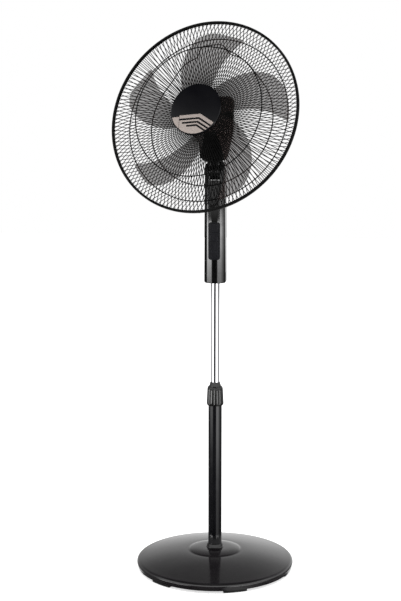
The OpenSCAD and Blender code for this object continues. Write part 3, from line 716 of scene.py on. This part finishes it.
# ---- stage ----
# Levels of the studio by direction: azimuth in degrees from the camera, height as the z of the direction
WALL_STRENGTH = 16.0
SKY_FRONT_STRENGTH = 1.8
SKY_BACK_STRENGTH = 1.1
WALL_LEFT = [(-180, 0.0), (-92, 0.0), (-84, 1.0), (-42, 1.0), (-33, 0.0), (180, 0.0)]
WALL_RIGHT = [(-180, 0.0), (14, 0.0), (22, 1.0), (52, 1.0), (68, 0.5), (80, 0.27), (90, 0.05), (110, 0.05),
              (120, 0.0), (180, 0.0)]
WALL_LEFT_LEVEL = [(-0.34, 0.0), (-0.291, 0.002), (-0.268, 0.02), (-0.249, 0.10), (-0.238, 0.13),
                   (-0.17, 0.13), (-0.158, 0.2),
                   (-0.145, 0.42), (-0.124, 0.75), (-0.117, 0.6), (-0.110, 0.03), (-0.08, 0.02)]
WALL_RIGHT_LEVEL = [(-0.34, 0.03), (-0.291, 0.056), (-0.268, 0.15), (-0.249, 0.2), (-0.238, 0.2),
                    (-0.165, 0.16),
                    (-0.158, 0.13), (-0.145, 0.24), (-0.124, 0.6), (-0.117, 0.5), (-0.110, 0.03), (-0.08,
                                                                                                   0.03)]
BEHIND = [(-180, 1.0), (-100, 1.0), (-90, 0.0), (100, 0.0), (112, 1.0), (180, 1.0)]
BEHIND_LEVEL = [(-0.34, 0.08), (-0.25, 0.10), (-0.235, 0.32), (-0.175, 0.32), (-0.165, 0.03), (0.0, 0.03)]
FAR = [(-180, 0.8), (-156, 0.8), (-146, 0.0), (146, 0.0), (156, 0.8), (180, 0.8)]
SKY_FRONT = [(0.0, 0.5), (0.42, 0.9), (0.5, 1.0), (0.55, 0.55), (0.60, 0.22), (0.66, 0.05), (1.0, 0.02)]
SKY_BACK = [(0.0, 0.9), (0.12, 0.9), (0.32, 0.75), (0.48, 0.42), (0.62, 0.28), (0.75, 0.22), (0.83, 0.04),
            (1.0, 0.02)]
SKY_SIDES = [(-0.6, 0.45), (-0.25, 0.6), (0.0, 0.85), (0.25, 1.0), (0.6, 1.0)]


def surroundings():
    """Studio seen by direction: white to the camera and for soft light; in reflections a pale sky,
    two bright walls left and right of the camera and a dark gap between them."""
    world = bpy.data.worlds.new("studio")
    bpy.context.scene.world = world
    world.use_nodes = True
    tree = world.node_tree

    def math_node(operation, *values):
        node = tree.nodes.new("ShaderNodeMath")
        node.operation = operation
        for socket, value in zip(node.inputs, values):
            if isinstance(value, (int, float)):
                socket.default_value = value
            else:
                tree.links.new(value, socket)
        return node.outputs["Value"]

    def reading(value, stops, scale=1.0):
        """Piecewise linear reading of stops (value, level), times scale."""
        low, high = stops[0][0], stops[-1][0]
        span = tree.nodes.new("ShaderNodeMapRange")
        span.inputs["From Min"].default_value = low
        span.inputs["From Max"].default_value = high
        tree.links.new(value, span.inputs["Value"])
        node = tree.nodes.new("ShaderNodeValToRGB")
        elements = node.color_ramp.elements
        while len(elements) < len(stops):
            elements.new(0.5)
        for element, (at, level) in zip(elements, stops):
            element.position = (at - low) / (high - low)
            element.color = (level, level, level, 1)
        tree.links.new(span.outputs["Result"], node.inputs["Fac"])
        return math_node("MULTIPLY", node.outputs["Color"], scale)

    coords = tree.nodes.new("ShaderNodeTexCoord")
    turn = tree.nodes.new("ShaderNodeMapping")
    turn.inputs["Rotation"].default_value = (0, 0, -math.radians(CAMERA_AZIMUTH))
    split = tree.nodes.new("ShaderNodeSeparateXYZ")
    tree.links.new(coords.outputs["Generated"], turn.inputs["Vector"])
    tree.links.new(turn.outputs["Vector"], split.inputs["Vector"])
    side, back, height = split.outputs
    azimuth = math_node("MULTIPLY", math_node("ARCTAN2", side, math_node("MULTIPLY", back, -1.0)),
                        180 / math.pi)
    left = math_node("MULTIPLY", reading(azimuth, WALL_LEFT), reading(height, WALL_LEFT_LEVEL, WALL_STRENGTH))
    right = math_node("MULTIPLY", reading(azimuth, WALL_RIGHT),
                      reading(height, WALL_RIGHT_LEVEL, WALL_STRENGTH))
    behind = math_node("MULTIPLY", reading(azimuth, BEHIND), reading(height, BEHIND_LEVEL))
    walls = math_node("ADD", math_node("ADD", left, right), math_node("ADD", behind, reading(azimuth, FAR)))
    sky_front = reading(height, SKY_FRONT, SKY_FRONT_STRENGTH)
    facing = reading(back, [(-0.2, 1.0), (0.2, 0.0)])
    sky_back = math_node("MULTIPLY", reading(height, SKY_BACK, SKY_BACK_STRENGTH), reading(side, SKY_SIDES))
    sky = math_node("ADD", math_node("MULTIPLY", facing, sky_front),
                    math_node("MULTIPLY", math_node("SUBTRACT", 1.0, facing), sky_back))
    above = reading(height, [(-0.14, 0.0), (0.06, 1.0)])
    level = math_node("ADD", math_node("MULTIPLY", above, sky),
                      math_node("MULTIPLY", math_node("SUBTRACT", 1.0, above), walls))
    path = tree.nodes.new("ShaderNodeLightPath")
    glossy = path.outputs["Is Glossy Ray"]
    strength = math_node("ADD", math_node("MULTIPLY", glossy, level), math_node("SUBTRACT", 1.0, glossy))
    background = tree.nodes["Background"]
    background.inputs["Color"].default_value = (1, 1, 1, 1)
    tree.links.new(strength, background.inputs["Strength"])


def floor():
    """A pale floor that fades into the white surroundings."""
    mesh = bpy.data.meshes.new("floor")
    half = 6.0
    mesh.from_pydata([(-half, -half, 0), (half, -half, 0), (half, half, 0), (-half, half, 0)], [],
                     [(0, 1, 2, 3)])
    obj = bpy.data.objects.new("floor", mesh)
    bpy.context.scene.collection.objects.link(obj)
    mat, tree, shader = principled("pale_floor")
    colour = ramp(tree, noise(tree, 3), (0.94, 0.94, 0.94), (0.96, 0.96, 0.96))
    tree.links.new(colour, shader.inputs["Base Color"])
    shader.inputs["Roughness"].default_value = 0.9
    shader.inputs["Specular IOR Level"].default_value = 0.0
    shader.inputs["Emission Color"].default_value = (1, 1, 1, 1)
    shader.inputs["Emission Strength"].default_value = 0.6
    mesh.materials.append(mat)
    obj.visible_glossy = False


def overhead_light():
    """A broad, weak light above the fan that models the shapes softly."""
    light = bpy.data.lights.new("overhead", "AREA")
    light.shape = "RECTANGLE"
    light.size, light.size_y = 3.0, 3.0
    light.energy = 25
    obj = bpy.data.objects.new("overhead", light)
    obj.location = (0, -0.5, 3.2)
    obj.visible_glossy = False
    bpy.context.scene.collection.objects.link(obj)


CAMERA_AZIMUTH = 6.7
CAMERA_DISTANCE = 3.42
CAMERA_HEIGHT = 1.245
CAMERA_PITCH = 9.92
CAMERA_PAN = 0.576
CAMERA_LENS = 89.4
CAMERA_SENSOR = 36


def camera():
    data = bpy.data.cameras.new("camera")
    data.lens = CAMERA_LENS
    data.sensor_width = CAMERA_SENSOR
    data.clip_end = 100
    obj = bpy.data.objects.new("camera", data)
    a = math.radians(CAMERA_AZIMUTH)
    obj.location = (math.sin(a) * CAMERA_DISTANCE, -math.cos(a) * CAMERA_DISTANCE, CAMERA_HEIGHT)
    obj.rotation_euler = (math.radians(90 - CAMERA_PITCH), 0, math.radians(CAMERA_AZIMUTH + CAMERA_PAN))
    bpy.context.scene.collection.objects.link(obj)
    bpy.context.scene.camera = obj


camera()
bpy.context.scene.view_settings.view_transform = "Standard"
surroundings()
floor()
overhead_light()

bpy.context.view_layer.update()
base_cover()
pole_socket()
poles()
lock_collar()
front_guard()
rear_guard()
guard_plates()
guard_ring()
impeller()
badge()
motor_covers()
for rounded, radius in (("housing_front", 0.8), ("housing_rear", 0.8), ("housing_foot", 0.8),
                        ("key_bezel", 0.35),
                        ("key_off", 0.35), ("key_low", 0.35), ("key_medium", 0.35), ("key_high", 0.35),
                        ("neck", 0.6), ("oscillation_knob", 0.6), ("guard_nut", 0.6), ("spinner_nut", 0.8),
                        ("cord_gland", 0.4), ("rubber_feet", 0.6), ("housing_screws", 0.3), ("ring_screw",
                                                                                             0.3)):
    refined(rounded, radius)
